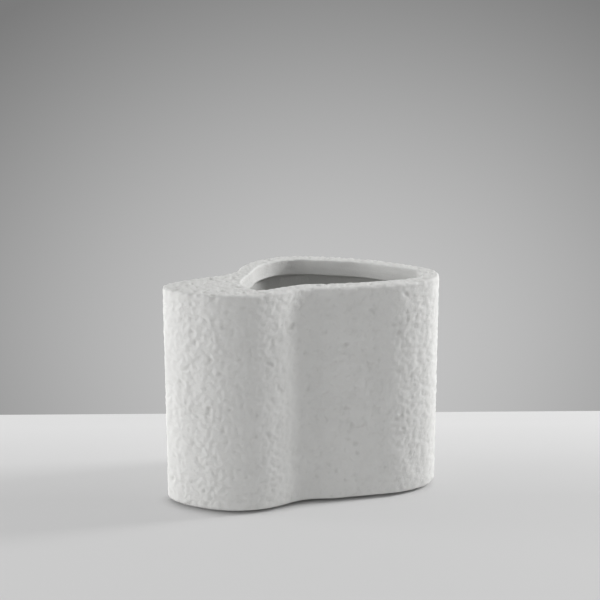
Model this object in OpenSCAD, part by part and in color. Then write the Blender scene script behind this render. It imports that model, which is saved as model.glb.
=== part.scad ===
// Two-lobed cast vase: an upright wall, a top plate with the mouth cut in it, a base plate let in
// from below, and six foot pads. The small lobe stands forward on the left under a closed deck.
// The large lobe stands back on the right and is open.
// X runs along both lobes, Y from front to back and Z up. The origin is the middle of the
// footprint, on the surface that the pads stand on.

/* [Overall size] */
// Length over both lobes
vase_w = 214; // [206:1:226]
// Depth from the small lobe's front to the large lobe's back
vase_d = 118; // [114:1:122]
// Height from the surface to the rim
vase_h = 175; // [120:1:240]

/* [Small lobe] */
// Radius of the rounded left end
end_r = 9; // [9:0.5:12]
// Left end's centre, behind the small lobe's front
end_back = 28; // [27:0.5:29.5]
// Radius of the flank, between the left end and the small lobe's front
flank_r = 50; // [40:1:62]
// Direction in which the left end faces where it runs into the flank
flank_angle = 220.5; // [218:0.5:223]
// Radius of the small lobe's front
front_r = 71; // [62:1:76]
// Centre of the small lobe's front, in from the left end
front_in = 55.5; // [53.5:0.5:58]
// Radius of the small lobe's back
lobe_back_r = 118; // [95:1:140]
// Direction in which the left end faces where it runs into the small lobe's back
lobe_back_angle = 132.5; // [131:0.5:135]

/* [Large lobe] */
// Radius of the large lobe's front
face_r = 110; // [80:1:150]
// Large lobe's front, behind the small lobe's front
face_back = 20; // [17:0.5:23]
// Centre of the large lobe's front, in from the right end
face_in = 96.5; // [92:0.5:102]
// Radius of the cheek, between the large lobe's front and the right end
cheek_r = 79; // [60:1:100]
// Direction in which the cheek faces where it runs into the right end
cheek_angle = 304; // [301:0.5:307]
// Radius of the rounded right end
right_r = 25; // [21:1:29]
// Right end's centre, behind the small lobe's front
right_back = 61.5; // [58:0.5:65]
// Radius of the shoulder at the back right
shoulder_r = 100; // [88:2:112]
// Centre of the shoulder, in from the right end
shoulder_in = 88.5; // [84:0.5:94]
// Shoulder's back, in front of the large lobe's back
shoulder_drop = 5.5; // [4:0.5:7]
// Radius of the large lobe's back
back_r = 50; // [46:1:52]
// Centre of the large lobe's back, in from the left end
back_in = 105; // [103:1:109]

/* [Waists] */
// Radius of the hollow between the lobes at the front
front_waist_r = 44; // [34:1:70]
// Radius of the hollow between the lobes at the back
back_waist_r = 22; // [18:1:32]

/* [Mouth] */
// Width of the rim round the mouth
rim_w = 12.5; // [11:0.5:13.5]
// Depth of the lip that hangs inside the rim
lip_h = 13; // [9:0.5:20]
// Radius of the mouth's end beside the deck
deck_edge_r = 27; // [25:1:29]
// Centre of that end, in from the left end
deck_edge_in = 86; // [84.5:0.5:88]
// Centre of that end, behind the small lobe's front
deck_edge_back = 39.5; // [38.5:0.5:41.5]
// Radius of the corner where the deck's edge meets the front rim
mouth_corner_r = 10; // [7:1:13]

/* [Wall and base] */
// Thickness of the wall
wall_t = 7; // [6:0.5:8.5]
// Thickness of the base plate
base_t = 6; // [4:0.5:10]
// Width of the wall's ledge that the base plate is bonded to
ledge_w = 3; // [2:0.5:4]
// Thickness of the top plate's skirt, which laps over the wall
skirt_t = 3.3; // [2.5:0.1:4]
// Height of the skirt
skirt_h = 3; // [2:0.5:6]

/* [Edges] */
// Radius of the rim's outer edge
rim_round = 3; // [1:0.5:4.5]
// Radius of the lip's upper edge
lip_round = 2; // [1:0.5:4]
// Radius of the lip's lower edge
lip_under_round = 1; // [0.5:0.5:3]
// Radius of the wall's bottom edge
foot_round = 3; // [1:0.5:3.5]

/* [Foot pads] */
// Diameter of a pad
pad_d = 12; // [8:1:13]
// Height that the pads lift the vase by
pad_lift = 2; // [1:0.5:4]
// Depth that a pad is let into the base plate
pad_sunk = 0.5; // [0.3:0.1:1]
// Centre of a pad, in from the outside of the wall
pad_in = 14; // [13:0.5:16]

/* [Fit] */
// Gap beside pieces that are bonded together
bond_gap = 0.2; // [0.1:0.05:0.4]

/* [Hidden] */
// Largest angle between the flats of a curve
flat_angle = 6;
// Angle between the flats of a rounded edge
edge_angle = 22.5;
// Depth by which a cut runs past a face
overrun = 1;
$fn = 48;

pad_names = [for (i = [1:6]) str("foot_pad_", i)];

left = -vase_w / 2;
right = vase_w / 2;
front = -vase_d / 2;
back = vase_d / 2;
lip_z = vase_h - lip_h;
joint_z = lip_z - skirt_h;
tongue_in = skirt_t + bond_gap;
ledge_in = wall_t - ledge_w;
ledge_z = pad_lift + base_t;

// An outline is a ring of turns, [x, y, radius], in anticlockwise order. It runs round them like a
// belt round pulleys: outside those with a positive radius, and inside the hollow ones, whose
// radius is negative. A smaller outline at an even distance comes from taking that distance off
// every radius.

// Direction, square to the belt and away from the solid, on the straight from one turn to the next
function outward(a, b) =
    let (run = norm([b.x - a.x, b.y - a.y]), lean = max(-1, min(1, (b.z - a.z) / run)))
    atan2(b.y - a.y, b.x - a.x) - 90 - asin(lean);

// Turn of a given radius that touches turns a and b, on the right of the way from a to b
function touching(a, b, radius) =
    let (run = norm([b.x - a.x, b.y - a.y]),
         from_a = a.z - radius,
         from_b = b.z - radius,
         along = (pow(from_a, 2) - pow(from_b, 2) + pow(run, 2)) / (2 * run),
         aside = sqrt(max(0, pow(from_a, 2) - pow(along, 2))),
         way = [b.x - a.x, b.y - a.y] / run)
    [a.x + way.x * along + way.y * aside, a.y + way.y * along - way.x * aside, radius];

function inset(ring, by) = [for (turn = ring) [turn.x, turn.y, turn.z - by]];

function next(ring, i) = ring[(i + 1) % len(ring)];
function last(ring, i) = ring[(i + len(ring) - 1) % len(ring)];
function start_angle(ring, i) = outward(last(ring, i), ring[i]);
function turned(ring, i) =
    let (by = outward(ring[i], next(ring, i)) - start_angle(ring, i))
    by - 360 * round(by / 360);

function flats(ring) =
    [for (i = [0:len(ring) - 1]) max(2, ceil(abs(turned(ring, i)) / flat_angle))];

// Corners of the outline: the flats touch the true curve, and the straights lie on it
function corners(ring, counts) =
    [for (i = [0:len(ring) - 1])
        let (step = turned(ring, i) / counts[i], reach = ring[i].z / cos(step / 2))
        for (k = [0:counts[i] - 1])
            let (angle = start_angle(ring, i) + step * (k + 1 / 2))
            [ring[i].x + reach * cos(angle), ring[i].y + reach * sin(angle)]];

// Larger turn that runs smoothly into a turn where that one faces in the direction given
function easing(turn, radius, direction) =
    let (reach = radius - turn.z)
    [turn.x - reach * cos(direction), turn.y - reach * sin(direction), radius];

// The footprint
left_end = [left + end_r, front + end_back, end_r];
flank = easing(left_end, flank_r, flank_angle);
small_front = [left + front_in, front + front_r, front_r];
large_front = [right - face_in, front + face_back + face_r, face_r];
right_end = [right - right_r, front + right_back, right_r];
cheek = easing(right_end, cheek_r, cheek_angle);
shoulder = [right - shoulder_in, back - shoulder_drop - shoulder_r, shoulder_r];
large_back = [left + back_in, back - back_r, back_r];
small_back = easing(left_end, lobe_back_r, lobe_back_angle);
front_waist = touching(small_front, large_front, -front_waist_r);
back_waist = touching(large_back, small_back, -back_waist_r);
footprint = [
    left_end, flank, small_front, front_waist, large_front, cheek,
    right_end, shoulder, large_back, back_waist, small_back
];

// The mouth follows the large lobe at the rim's width, and ends in a curved edge beside the deck
within = inset(footprint, rim_w);
deck_edge = [left + deck_edge_in, front + deck_edge_back, deck_edge_r];
mouth_corner = touching(within[2], deck_edge, mouth_corner_r);
mouth = [
    mouth_corner, within[2], within[3], within[4], within[5],
    within[6], within[7], within[8], within[9], deck_edge
];

// An edge is a ring with its number of flats at each turn. Both edges have the same total, so that
// lofts can pair their corners. The mouth's corner is paired with the left end and the flank.
first_flats = [flats(footprint)[0], flats(footprint)[1]];
shared_flats = [for (i = [1:len(mouth) - 1]) max(flats(footprint)[i + 1], flats(mouth)[i])];
outer_edge = [footprint, concat(first_flats, shared_flats)];
mouth_edge = [mouth, concat([first_flats[0] + first_flats[1]], shared_flats)];

// One closed loop of a loft
function loop(edge, by, z) = [for (p = corners(inset(edge[0], by), edge[1])) [p.x, p.y, z]];

// Loops of a rounding of radius r between its two ends, in degrees, about a centre that lies `by`
// in from the edge at height z
function rounding(edge, by, z, r, from, to) =
    let (steps = round(abs(to - from) / edge_angle))
    [for (k = [0:steps])
        let (angle = from + (to - from) * k / steps)
        loop(edge, by - r * cos(angle), z + r * sin(angle))];

// Solid between loops that follow each other round a section and close on the first
module loft(loops) {
    n = len(loops[0]);
    m = len(loops);
    polyhedron(
        points = [for (l = loops) each l],
        faces = [for (j = [0:m - 1], i = [0:n - 1])
            let (here = j * n, above = ((j + 1) % m) * n, beside = (i + 1) % n)
            [here + i, above + i, above + beside, here + beside]]
    );
}

module outer_wall() {
    color("gainsboro")
        loft(concat(
            rounding(outer_edge, foot_round, pad_lift + foot_round, foot_round, -90, 0),
            [
                loop(outer_edge, 0, joint_z),
                loop(outer_edge, tongue_in, joint_z),
                loop(outer_edge, tongue_in, lip_z - bond_gap),
                loop(outer_edge, wall_t, lip_z - bond_gap),
                loop(outer_edge, wall_t, ledge_z),
                loop(outer_edge, ledge_in, ledge_z),
                loop(outer_edge, ledge_in, pad_lift)
            ]
        ));
}

module top_plate() {
    color("whitesmoke")
        loft(concat(
            [loop(outer_edge, 0, joint_z)],
            rounding(outer_edge, rim_round, vase_h - rim_round, rim_round, 0, 90),
            rounding(mouth_edge, -lip_round, vase_h - lip_round, -lip_round, -90, 0),
            rounding(mouth_edge, -lip_under_round, lip_z + lip_under_round, -lip_under_round, 0, 90),
            [
                loop(outer_edge, skirt_t, lip_z),
                loop(outer_edge, skirt_t, joint_z)
            ]
        ));
}

// Each pad stands inside the wall, on a line from a turn's centre at the angle given
pad_turns = [left_end, small_front, large_front, right_end, shoulder, large_back];
pad_angles = [180, -90, -88, -30, 60, 110];

module at_pad(i) {
    turn = pad_turns[i];
    out = turn.z - pad_in;
    translate([turn.x + out * cos(pad_angles[i]), turn.y + out * sin(pad_angles[i]), 0])
        children();
}

module foot_pad(i) {
    color("dimgray")
        at_pad(i)
            cylinder(d = pad_d, h = pad_lift + pad_sunk);
}

module base_plate() {
    color("silver")
        difference() {
            translate([0, 0, pad_lift])
                linear_extrude(base_t)
                    polygon([for (p = loop(outer_edge, ledge_in + bond_gap, 0)) [p.x, p.y]]);
            for (i = [0:len(pad_turns) - 1])
                at_pad(i)
                    translate([0, 0, pad_lift - overrun])
                        cylinder(d = pad_d + 2 * bond_gap, h = pad_sunk + overrun);
        }
}

outer_wall();
top_plate();
base_plate();
for (i = [0:len(pad_names) - 1])
    foot_pad(i);
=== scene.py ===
import math

import bmesh
import bpy
from mathutils import Matrix, Vector, noise
from mathutils.bvhtree import BVHTree
from mathutils.geometry import delaunay_2d_cdt


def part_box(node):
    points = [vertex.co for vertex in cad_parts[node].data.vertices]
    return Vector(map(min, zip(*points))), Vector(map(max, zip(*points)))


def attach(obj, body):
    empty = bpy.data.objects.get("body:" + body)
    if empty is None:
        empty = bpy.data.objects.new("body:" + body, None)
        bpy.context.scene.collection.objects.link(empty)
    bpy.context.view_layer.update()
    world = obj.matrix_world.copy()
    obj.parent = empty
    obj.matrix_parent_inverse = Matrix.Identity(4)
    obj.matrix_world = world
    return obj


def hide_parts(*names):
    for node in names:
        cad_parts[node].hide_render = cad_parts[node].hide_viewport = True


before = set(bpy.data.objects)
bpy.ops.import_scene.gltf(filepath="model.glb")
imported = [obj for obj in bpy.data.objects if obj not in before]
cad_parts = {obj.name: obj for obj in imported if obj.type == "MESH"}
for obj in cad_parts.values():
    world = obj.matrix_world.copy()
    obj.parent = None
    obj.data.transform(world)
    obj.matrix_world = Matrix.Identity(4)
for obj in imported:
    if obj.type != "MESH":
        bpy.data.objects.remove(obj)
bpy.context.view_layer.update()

# Camera: it stands in front of the vase, looks down on it at a slant and shows a little of the
# mouth. The lens is shifted so that the upright walls stay nearly parallel.
camera_place = Vector((-0.0189, -0.9456, 0.4346))
camera_pitch = math.radians(13.22)
camera_turn = math.radians(-1)
camera = bpy.data.objects.new("camera", bpy.data.cameras.new("camera"))
bpy.context.collection.objects.link(camera)
camera.location = camera_place
camera.rotation_euler = (math.pi / 2 - camera_pitch, 0, camera_turn)
camera.data.sensor_width = 36
camera.data.lens = 75
camera.data.shift_y = -0.12
bpy.context.scene.camera = camera


# Outer wall: one upright casting of filled resin, 7 mm thick. Its outside keeps the rough, sandy
# surface of the mould, and its inside is smoother. The top plate laps over a step at its top, and
# the base plate is bonded to a ledge at its bottom.
wall_low, wall_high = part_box("outer_wall")
plate_low, plate_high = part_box("top_plate")
left, front, foot_z = wall_low
right, back, tongue_z = wall_high
joint_z, rim_z = plate_low.z, plate_high.z
wall_t = 0.007
tongue_in = 0.0035
ledge_in = 0.004
foot_round = 0.003
edge_steps = 6
base_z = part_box("base_plate")[1].z
skin_pitch = 0.001
tiny = 1e-6


def outward(a, b):
    """Direction square to the straight from turn a to turn b, away from the solid."""
    run = (b.xy - a.xy).length
    lean = max(-1, min(1, (b.z - a.z) / run))
    return math.atan2(b.y - a.y, b.x - a.x) - math.pi / 2 - math.asin(lean)


def touching(a, b, radius):
    """Turn of that radius which touches turns a and b, on the right of the way from a to b."""
    way = b.xy - a.xy
    run = way.length
    way.normalize()
    from_a, from_b = a.z - radius, b.z - radius
    along = (from_a ** 2 - from_b ** 2 + run ** 2) / (2 * run)
    aside = math.sqrt(from_a ** 2 - along ** 2)
    x = a.x + way.x * along + way.y * aside
    y = a.y + way.y * along - way.x * aside
    return Vector((x, y, radius))


def easing(turn, radius, direction):
    """Larger turn that runs smoothly into a turn where that one faces in the direction given."""
    reach, angle = radius - turn.z, math.radians(direction)
    return Vector((turn.x - reach * math.cos(angle), turn.y - reach * math.sin(angle), radius))


def inset(ring, by):
    """The same ring, set in by that width all round."""
    return [Vector((turn.x, turn.y, turn.z - by)) for turn in ring]


# A ring of turns, (x, y, radius): the outline runs round them like a belt round pulleys, and inside
# those with a negative radius.
left_end = Vector((left + 0.009, front + 0.028, 0.009))
flank = easing(left_end, 0.050, 220.5)
small_front = Vector((left + 0.0555, front + 0.071, 0.071))
large_front = Vector((right - 0.0965, front + 0.130, 0.110))
right_end = Vector((right - 0.025, front + 0.0615, 0.025))
cheek = easing(right_end, 0.079, 304)
shoulder = Vector((right - 0.0885, back - 0.1055, 0.100))
large_back = Vector((left + 0.105, back - 0.050, 0.050))
small_back = easing(left_end, 0.118, 132.5)
front_waist = touching(small_front, large_front, -0.044)
back_waist = touching(large_back, small_back, -0.022)
footprint = [
    left_end, flank, small_front, front_waist, large_front, cheek, right_end, shoulder, large_back,
    back_waist, small_back,
]


def on_turn(turn, angle, inwards, z):
    """Point on a turn where it faces in that direction, set in and at that height."""
    reach = turn.z - inwards
    return Vector((turn.x + reach * math.cos(angle), turn.y + reach * math.sin(angle), z))


plain, sandy, streaked = 0, 1, 2


def new_mesh():
    """An empty mesh whose vertices keep their finish and the height of the texture there."""
    mesh = bmesh.new()
    mesh.verts.layers.float.new("finish")
    mesh.verts.layers.float.new("grain")
    return mesh


def having(mesh, *finishes):
    """Vertices with one of those finishes."""
    layer = mesh.verts.layers.float["finish"]
    return [v for v in mesh.verts if round(v[layer]) in finishes]


def finished(mesh, verts, finish):
    """Gives the vertices that finish."""
    layer = mesh.verts.layers.float["finish"]
    for vertex in verts:
        vertex[layer] = finish


def sweep(mesh, ring, section, pitch, finish):
    """Spins a section of (inwards, height) points round a ring, in steps of the pitch at most.
    Straights under a quarter of it take no step of their own, and the last section is merged with
    the first."""
    older = set(mesh.verts)
    angle = outward(ring[-1], ring[0])
    points = [mesh.verts.new(on_turn(ring[0], angle, *point)) for point in section]
    finished(mesh, points, finish)
    moving = points + [mesh.edges.new(pair) for pair in zip(points, points[1:])]
    for turn, following in zip(ring, ring[1:] + ring[:1]):
        end = outward(turn, following)
        swing = (end - angle + math.pi) % (2 * math.pi) - math.pi
        moving = bmesh.ops.spin(
            mesh, geom=moving, cent=(turn.x, turn.y, 0), axis=(0, 0, 1), angle=swing,
            steps=math.ceil(abs(swing * turn.z) / pitch),
        )["geom_last"]
        straight = on_turn(following, end, 0, 0) - on_turn(turn, end, 0, 0)
        if straight.length > pitch / 4:
            steps = math.ceil(straight.length / pitch)
            moving = bmesh.ops.spin(
                mesh, geom=moving, axis=(0, 0, 1), dvec=straight / steps, angle=0, steps=steps,
            )["geom_last"]
        angle = end
    bmesh.ops.remove_doubles(mesh, verts=[v for v in mesh.verts if v not in older], dist=pitch / 8)


def rounded(inwards, z, r, start, end, steps):
    """Points of a rounded edge about a centre, between two angles in degrees."""
    angles = [math.radians(start + (end - start) * k / steps) for k in range(steps + 1)]
    return [(inwards - r * math.cos(a), z + r * math.sin(a)) for a in angles]


def rows(mesh, verts, low, high, pitch):
    """Divides the upright edges that run from one height to the other into rows."""
    ends = {v for v in verts if abs(v.co.z - low) < tiny or abs(v.co.z - high) < tiny}
    tall = [
        e for e in mesh.edges
        if ends.issuperset(e.verts) and e.calc_length() > high - low - tiny
    ]
    bmesh.ops.subdivide_edges(mesh, edges=tall, cuts=math.ceil((high - low) / pitch) - 1)


lump_size = 0.0038
lump_height = 0.00044
lump_softness = 0.9
lump_step = 2.1
lump_octaves = 2
swell_size = 0.013
swell_height = 0.00022
pit_size = 0.0052
pit_depth = 0.0015
pit_from = 0.36
pit_place = Vector((0.31, 0.17, 0.53))


def cast_grain(place):
    """Height of the mould's texture: lumps on a slow swell, with scattered pits."""
    lumps = noise.fractal(place / lump_size, lump_softness, lump_step, lump_octaves)
    swell = noise.noise(place / swell_size)
    pits = max(0, noise.noise(place / pit_size + pit_place) - pit_from)
    return lump_height * lumps + swell_height * swell - pit_depth * pits


def textured(mesh, heights):
    """Raises the skin by the height that its finish gives, and joins the plain faces to it."""
    skin = having(mesh, *heights)
    faces = list(dict.fromkeys(f for v in skin for f in v.link_faces))
    bmesh.ops.recalc_face_normals(mesh, faces=faces)
    mesh.normal_update()
    finish, grain = (mesh.verts.layers.float[name] for name in ("finish", "grain"))
    for vertex in skin:
        vertex[grain] = heights[round(vertex[finish])](vertex.co)
    moves = {v: v.normal * v[grain] for v in skin}
    meeting = bmesh.ops.find_doubles(mesh, verts=mesh.verts[:], keep_verts=skin, dist=tiny)
    bmesh.ops.weld_verts(mesh, targetmap=meeting["targetmap"])
    for vertex, move in moves.items():
        vertex.co += move


crease = math.radians(60)


def closed_piece(mesh, name, material):
    """Makes the piece's object: normals outwards, smooth faces and crisp corners."""
    bmesh.ops.recalc_face_normals(mesh, faces=mesh.faces[:])
    for face in mesh.faces:
        face.smooth = True
    for edge in mesh.edges:
        edge.smooth = edge.calc_face_angle(0) < crease
    data = bpy.data.meshes.new(name)
    mesh.to_mesh(data)
    mesh.free()
    data.materials.append(material)
    piece = bpy.data.objects.new(name, data)
    bpy.context.collection.objects.link(piece)
    return piece


class Socket:
    """A shader socket that Python's operators work on. Each operator adds its Math node."""

    def __init__(self, tree, link):
        self.tree, self.link = tree, link

    def node(self, kind, settings=None, inputs=None, output=0):
        """Adds a node, sets its settings and then its inputs, and wraps one of its outputs."""
        made = self.tree.nodes.new(kind)
        for name, value in (settings or {}).items():
            setattr(made, name, value)
        for name, value in (inputs or {}).items():
            if isinstance(value, Socket):
                self.tree.links.new(value.link, made.inputs[name])
            else:
                made.inputs[name].default_value = value
        return Socket(self.tree, made.outputs[output])

    def math(self, operation, first, second):
        return self.node("ShaderNodeMath", {"operation": operation}, {0: first, 1: second})

    def __add__(self, other):
        return self.math("ADD", self, other)

    def __radd__(self, other):
        return self.math("ADD", other, self)

    def __sub__(self, other):
        return self.math("SUBTRACT", self, other)

    def __rsub__(self, other):
        return self.math("SUBTRACT", other, self)

    def __mul__(self, other):
        return self.math("MULTIPLY", self, other)

    def __rmul__(self, other):
        return self.math("MULTIPLY", other, self)

    def mixed(self, low, high):
        """Colour from low to high by this value: a Mix node's colours are its sockets 6 and 7."""
        return self.node(
            "ShaderNodeMix", {"data_type": "RGBA"}, {0: self, 6: low, 7: high}, output=2
        )

    def spread(self, low, high, to_low=0.0, to_high=1.0):
        """This value stretched from low..high to another range, and held within it."""
        return self.node("ShaderNodeMapRange", {}, {
            "Value": self, "From Min": low, "From Max": high, "To Min": to_low, "To Max": to_high,
        })


def new_material(name):
    """An empty Principled material: its shader node and the piece's own coordinates."""
    material = bpy.data.materials.new(name)
    material.use_nodes = True
    tree = material.node_tree
    shader = tree.nodes["Principled BSDF"]
    place = Socket(tree, tree.nodes.new("ShaderNodeTexCoord").outputs["Object"])
    return material, shader, place


def noise_at(place, size, detail=2.0, roughness=0.5):
    """Soft noise, 0 to 1, whose lumps are about that many metres across."""
    return place.node("ShaderNodeTexNoise", {}, {
        "Vector": place, "Scale": 1 / size, "Detail": detail, "Roughness": roughness,
    })


def bumped(place, height, distance):
    """Normals of a relief that rises by that distance where the height is 1."""
    return place.node("ShaderNodeBump", {}, {
        "Height": height, "Distance": distance, "Strength": 1.0,
    })


def connect(shader, name, socket):
    """Links a value or colour to one of the shader's own sockets."""
    socket.tree.links.new(socket.link, shader.inputs[name])


resin_light = (0.81, 0.81, 0.795, 1)
resin_shade = (0.78, 0.78, 0.765, 1)
# Painted shade, with some dust: the colour in the low pits and pores of the texture.
resin_pit_dust_and_shade = (0.62, 0.62, 0.60, 1)
# Painted shade: the plain faces inside the hollow are drawn in this greyer colour.
resin_inside_painted_shade = (0.66, 0.66, 0.645, 1)
resin_gloss = 0.35
blotch_size = 0.021
sand_size = 0.00075
sand_height = 0.00028
pore_size = 0.0016
pore_share = 0.5
# Depths of the texture over which the painted shade and dust in the pits come in, and their shares.
dust_and_shade_deep, dust_and_shade_shallow = -0.0006, -0.0001
dust_and_shade_share = 0.5
pore_dust_and_shade_share = 0.1


def cast_resin():
    """Matt off-white resin with mineral filler: sandy outside, darker in its pits with painted
    shade and some dust, and greyer on the plain faces inside with painted shade."""
    material, shader, place = new_material("cast_resin")
    grain = place.node("ShaderNodeAttribute", {"attribute_name": "grain"}, output="Fac")
    blotch = noise_at(place, blotch_size, detail=3.0, roughness=0.6).spread(0.35, 0.65)
    sand = noise_at(place, sand_size, detail=3.0, roughness=0.65)
    pores = noise_at(place, pore_size, detail=1.0).spread(0.62, 0.74)
    tone = blotch.mixed(resin_shade, resin_light)
    # Painted shade, with some dust: the lower the texture and where the pores are, the nearer to
    # the pit colour.
    deep = grain.spread(dust_and_shade_deep, dust_and_shade_shallow, 1.0, 0.0)
    pit_dust_and_shade_tone = (deep * dust_and_shade_share + pores * pore_dust_and_shade_share).mixed(tone, resin_pit_dust_and_shade)
    # Painted shade: the plain faces inside the hollow are drawn greyer than the outside.
    finish = place.node("ShaderNodeAttribute", {"attribute_name": "finish"}, output="Fac")
    inside = finish.spread(plain, sandy, 1.0, 0.0)
    connect(shader, "Base Color", inside.mixed(pit_dust_and_shade_tone, resin_inside_painted_shade))
    connect(shader, "Roughness", sand.spread(0.3, 0.7, 0.78, 0.92))
    connect(shader, "Normal", bumped(place, sand - pores * pore_share, sand_height))
    shader.inputs["Specular IOR Level"].default_value = resin_gloss
    return material


resin = cast_resin()
wall = new_mesh()
wall_outside = rounded(foot_round, foot_z + foot_round, foot_round, -90, 0, edge_steps)
wall_outside.append((0, joint_z))
wall_inside = [
    (0, joint_z), (tongue_in, joint_z), (tongue_in, tongue_z), (wall_t, tongue_z), (wall_t, base_z),
    (ledge_in, base_z), (ledge_in, foot_z), (foot_round, foot_z),
]
sweep(wall, footprint, wall_outside, skin_pitch, sandy)
sweep(wall, footprint, wall_inside, skin_pitch, plain)
rows(wall, having(wall, sandy), foot_z + foot_round, joint_z, skin_pitch)


def wall_grain(place):
    """The texture fades to nothing on the bottom edge, where the wall is ground flat."""
    return cast_grain(place) * min(1, (place.z - foot_z) / foot_round)


textured(wall, {sandy: wall_grain})
cast_wall = closed_piece(wall, "cast_wall", resin)
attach(cast_wall, "root")
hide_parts("outer_wall")


# Top plate: the deck over the small lobe, the rim and the lip, cast in one slab with a skirt that
# laps over the wall. The same sandy coat runs over the joint. The lip's inner face was drawn from
# the mould upwards, so it is smoother and faintly streaked.
rim_w = 0.0125
lip_z = tongue_z + 0.0002
skirt_t = 0.0033
rim_round = 0.0023
lip_round = 0.0014
lip_steps = 5
lip_under_round = 0.001
lip_under_steps = 4
deck_pitch = 0.0008
deck_relief = 1.6
within = inset(footprint, rim_w)
deck_edge = Vector((left + 0.086, front + 0.0395, 0.027))
mouth_corner = touching(within[2], deck_edge, 0.010)
# Set in by the rim's width, the mouth follows the footprint from the small lobe's front round the
# large lobe to the hollow at the back.
mouth = [mouth_corner] + within[2:10] + [deck_edge]

plate = new_mesh()
band_section = [(0, joint_z)]
band_section += rounded(rim_round, rim_z - rim_round, rim_round, 0, 90, edge_steps)
lip_section = (
    rounded(-lip_under_round, lip_z + lip_under_round, -lip_under_round, 90, 0, lip_under_steps)
    + rounded(-lip_round, rim_z - lip_round, -lip_round, 0, -90, lip_steps)
)
under_section = [(0, joint_z), (skirt_t, joint_z), (skirt_t, lip_z)]
sweep(plate, footprint, band_section, skin_pitch, sandy)
sweep(plate, footprint, under_section, skin_pitch, plain)
sweep(plate, mouth, lip_section, deck_pitch, streaked)
rows(plate, having(plate, sandy), joint_z, rim_z - rim_round, skin_pitch)
rows(plate, having(plate, streaked), lip_z + lip_under_round, rim_z - lip_round, deck_pitch)


def open_loop(mesh, finish, z):
    """Open edges of the skin with that finish, at that height."""
    own = {v for v in having(mesh, finish) if abs(v.co.z - z) < tiny}
    return [e for e in mesh.edges if e.is_boundary and own.issuperset(e.verts)]


def area(ring, by, pitch):
    """Tree of the flat area inside a ring that is set in."""
    flat = new_mesh()
    sweep(flat, ring, [(by, rim_z)], pitch, plain)
    bmesh.ops.triangle_fill(flat, edges=flat.edges[:], use_beauty=False)
    tree = BVHTree.FromBMesh(flat)
    flat.free()
    return tree


def over(tree, place):
    """Whether the place lies over or under that flat area."""
    return tree.ray_cast(Vector((place.x, place.y, 2 * rim_z)), Vector((0, 0, -1)))[0] is not None


inside_loops = 1


def filled(mesh, edges, loose, hole):
    """Joins flat loops of edges and the loose vertices between them, but leaves the hole open."""
    corners = list(dict.fromkeys(v for e in edges for v in e.verts)) + loose
    index = {v: i for i, v in enumerate(corners)}
    pairs = [tuple(index[v] for v in e.verts) for e in edges]
    _, _, triangles, sources, _, _ = delaunay_2d_cdt(
        [v.co.xy for v in corners], pairs, [], inside_loops, tiny
    )
    for triangle in triangles:
        points = [corners[sources[i][0]] for i in triangle]
        if not over(hole, sum((v.co for v in points), Vector()) / 3):
            mesh.faces.new(points)


# Loose points lie over the deck on a lattice of even triangles.
deck_area = area(footprint, rim_round + deck_pitch / 2, skin_pitch)
opening_area = area(mouth, -lip_round - deck_pitch / 2, deck_pitch)
row_pitch = deck_pitch * math.sin(math.radians(60))
deck_edges = open_loop(plate, sandy, rim_z) + open_loop(plate, streaked, rim_z)
deck = []
for row in range(math.ceil((back - front) / row_pitch)):
    for column in range(math.ceil((right - left) / deck_pitch)):
        along = left + (column + row % 2 / 2) * deck_pitch
        place = Vector((along, front + row * row_pitch, rim_z))
        if over(deck_area, place) and not over(opening_area, place):
            deck.append(plate.verts.new(place))
finished(plate, deck, sandy)
filled(plate, deck_edges, deck, area(mouth, -lip_round, deck_pitch))
under_edges = open_loop(plate, plain, lip_z) + open_loop(plate, streaked, lip_z)
filled(plate, under_edges, [], area(mouth, -lip_under_round, deck_pitch))

streak_size = Vector((0.030, 0.030, 0.0022))
streak_height = 0.00012
streak_lump_share = 0.2
lip_top = rim_z - lip_round


def lip_grain(place):
    """Faint streaks along the lip, which pass into the rim's texture at its upper edge."""
    stretched = Vector(p / s for p, s in zip(place, streak_size))
    lumps = cast_grain(place)
    streaks = streak_height * noise.noise(stretched) + streak_lump_share * lumps
    share = max(0, min(1, (place.z - lip_top + lip_round) / (2 * lip_round)))
    return streaks * (1 - share) + lumps * share


def rim_grain(place):
    """The same texture, deeper on the deck, where the resin was poured and not pressed."""
    flat = max(0, min(1, (place.z - rim_z) / rim_round + 1))
    return cast_grain(place) * (1 + (deck_relief - 1) * flat)


textured(plate, {sandy: rim_grain, streaked: lip_grain})
cast_top = closed_piece(plate, "cast_top", resin)
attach(cast_top, "root")
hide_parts("top_plate")


# Base plate: a flat sheet of the same resin, sawn to the wall's inside and bonded to its ledge. It
# was poured level, so it has only a fine grain.
base_light = (0.79, 0.79, 0.775, 1)
base_shade = (0.72, 0.72, 0.705, 1)
base_blotch_size = 0.012
base_grain_size = 0.0006
base_grain_height = 0.00008


def base_resin():
    material, shader, place = new_material("base_resin")
    blotch = noise_at(place, base_blotch_size, detail=4.0, roughness=0.6).spread(0.35, 0.65)
    grain = noise_at(place, base_grain_size)
    connect(shader, "Base Color", blotch.mixed(base_shade, base_light))
    connect(shader, "Roughness", grain.spread(0.3, 0.7, 0.7, 0.85))
    connect(shader, "Normal", bumped(place, grain, base_grain_height))
    return material


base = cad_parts["base_plate"]
base.data.materials.clear()
base.data.materials.append(base_resin())


# Foot pads: six round stick-on pads of dark rubber, let into the base plate. They carry the vase
# clear of the table.
rubber_dark = (0.035, 0.035, 0.035, 1)
rubber_dusty = (0.06, 0.06, 0.058, 1)
rubber_grain_size = 0.0004
rubber_grain_height = 0.00005


def pad_rubber():
    material, shader, place = new_material("pad_rubber")
    grain = noise_at(place, rubber_grain_size)
    connect(shader, "Base Color", grain.mixed(rubber_dark, rubber_dusty))
    connect(shader, "Roughness", grain.spread(0.3, 0.7, 0.55, 0.75))
    connect(shader, "Normal", bumped(place, grain, rubber_grain_height))
    return material


rubber = pad_rubber()
for name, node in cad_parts.items():
    if name.startswith("foot_pad"):
        node.data.materials.clear()
        node.data.materials.append(rubber)


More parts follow.
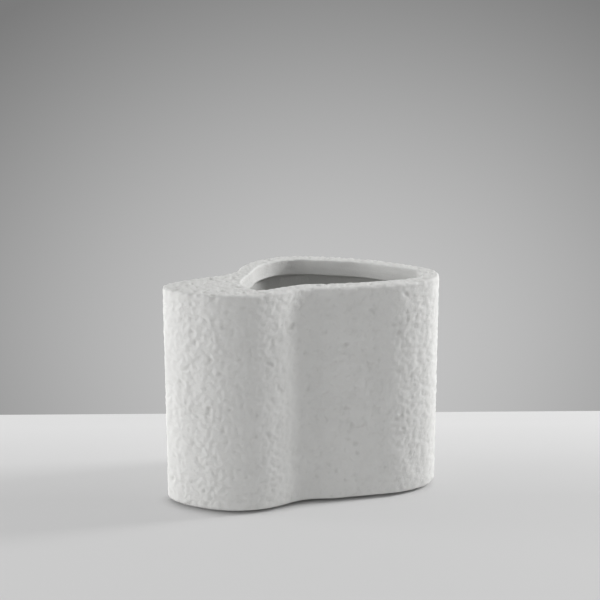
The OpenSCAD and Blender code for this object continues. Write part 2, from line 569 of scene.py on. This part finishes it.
# Studio: a pale floor, a grey wall close behind that only the camera sees, and soft light from
# both sides and from all round.
floor_near = (0.69, 0.69, 0.69, 1)
floor_far = (0.84, 0.84, 0.84, 1)
near_y, far_y = -0.03, 0.12
lift_near = (0.60, 0.60, 0.60, 1)
lift_far = (0.75, 0.75, 0.75, 1)
lift_share = 0.62
contact_reach = 0.01
stage_size = 6
wall_y = 0.15
glow_middle = Vector((0.03, wall_y, 0.057))
glow_shape = Vector((1, 1, 1.21))
glow_fall = 4.6
glow_grey = 0.553
far_grey = 0.2
world_light = 0.41
aim_place = Vector((0, 0, 0.09))
softbox_away = 2


def in_sight(tree):
    """1 where the camera sees a surface itself, and 0 for every other ray."""
    return Socket(tree, tree.nodes.new("ShaderNodeLightPath").outputs["Is Camera Ray"])


def surfaced(material, shader):
    """Makes that shader the material's surface."""
    tree = material.node_tree
    tree.links.new(shader.link, tree.nodes["Material Output"].inputs["Surface"])


def stage_plane(name, place, turn, material):
    """A large square of the studio, turned about X from flat, with its middle at that place."""
    mesh = bmesh.new()
    bmesh.ops.create_grid(mesh, x_segments=1, y_segments=1, size=stage_size / 2)
    bmesh.ops.rotate(mesh, verts=mesh.verts[:], matrix=Matrix.Rotation(turn, 3, "X"))
    bmesh.ops.translate(mesh, verts=mesh.verts[:], vec=place)
    data = bpy.data.meshes.new(name)
    mesh.to_mesh(data)
    mesh.free()
    data.materials.append(material)
    plane = bpy.data.objects.new(name, data)
    bpy.context.collection.objects.link(plane)


floor_material, floor_shader, floor_place = new_material("floor")
floor_y = floor_place.node("ShaderNodeSeparateXYZ", {}, {0: floor_place}, output="Y")
far_share = floor_y.spread(near_y, far_y)
connect(floor_shader, "Base Color", far_share.mixed(floor_near, floor_far))
floor_shader.inputs["Roughness"].default_value = 0.9
floor_shader.inputs["Specular IOR Level"].default_value = 0.1
# To the camera, a share of the floor is an even grey, which softens the shadows on it. Where the
# vase nearly touches the floor it isn't, so the line of shadow there stays dark. The share of the
# far grey keeps such a line away from the foot of the backdrop.
open_share = floor_place.node(
    "ShaderNodeAmbientOcclusion", {"samples": 8}, {"Distance": contact_reach}, output="AO"
)
even_share = (open_share + far_share).spread(0.5, 1, 0, lift_share)
lift = floor_place.node("ShaderNodeEmission", {}, {"Color": far_share.mixed(lift_near, lift_far)})
surfaced(floor_material, floor_place.node("ShaderNodeMixShader", {}, {
    0: in_sight(floor_place.tree) * even_share,
    1: Socket(floor_place.tree, floor_shader.outputs[0]),
    2: lift,
}))
stage_plane("floor", Vector((0, 0, 0)), 0, floor_material)

# The wall's grey is brightest behind the vase and falls off smoothly all round.
back_material, _, back_place = new_material("backdrop")
stretched = back_place.node(
    "ShaderNodeVectorMath", {"operation": "MULTIPLY"}, {0: back_place, 1: glow_shape}
)
away = stretched.node(
    "ShaderNodeVectorMath", {"operation": "DISTANCE"}, {0: stretched, 1: glow_middle * glow_shape},
    output="Value",
)
fall = away.node("ShaderNodeMath", {"operation": "EXPONENT"}, {0: away * away * -glow_fall})
grey = fall.math("MAXIMUM", fall * glow_grey, far_grey)
glow = back_place.node("ShaderNodeEmission", {}, {"Color": grey})
clear = back_place.node("ShaderNodeBsdfTransparent")
behind = back_place.node("ShaderNodeNewGeometry", output="Backfacing")
surfaced(back_material, back_place.node("ShaderNodeMixShader", {}, {
    0: in_sight(back_place.tree) * (1 - behind), 1: clear, 2: glow,
}))
stage_plane("backdrop", Vector((0, wall_y, stage_size / 2)), math.pi / 2, back_material)


def softbox(name, azimuth, height, width, tall, power):
    """A softbox aimed at the vase, at that azimuth and angle of height in degrees."""
    turn = Matrix.Rotation(math.radians(azimuth), 3, "Z")
    tilt = Matrix.Rotation(math.radians(-height), 3, "Y")
    away = turn @ tilt @ Vector((softbox_away, 0, 0))
    lamp = bpy.data.lights.new(name, "AREA")
    lamp.shape = "RECTANGLE"
    lamp.size, lamp.size_y, lamp.energy = width, tall, power
    stand = bpy.data.objects.new(name, lamp)
    bpy.context.collection.objects.link(stand)
    stand.location = aim_place + away
    stand.rotation_euler = away.to_track_quat("Z", "Y").to_euler()
    stand.visible_camera = False


softbox("right_softbox", azimuth=11, height=26, width=0.28, tall=0.75, power=29.5)
softbox("left_softbox", azimuth=173, height=7, width=0.43, tall=0.6, power=18.6)
softbox("left_fill", azimuth=197, height=11, width=0.43, tall=0.6, power=8.6)

world = bpy.data.worlds.new("world")
bpy.context.scene.world = world
world.use_nodes = True
sky = world.node_tree.nodes["Background"]
connect(sky, "Color", in_sight(world.node_tree).spread(0, 1, world_light, far_grey))

bpy.context.scene.view_settings.view_transform = "Standard"
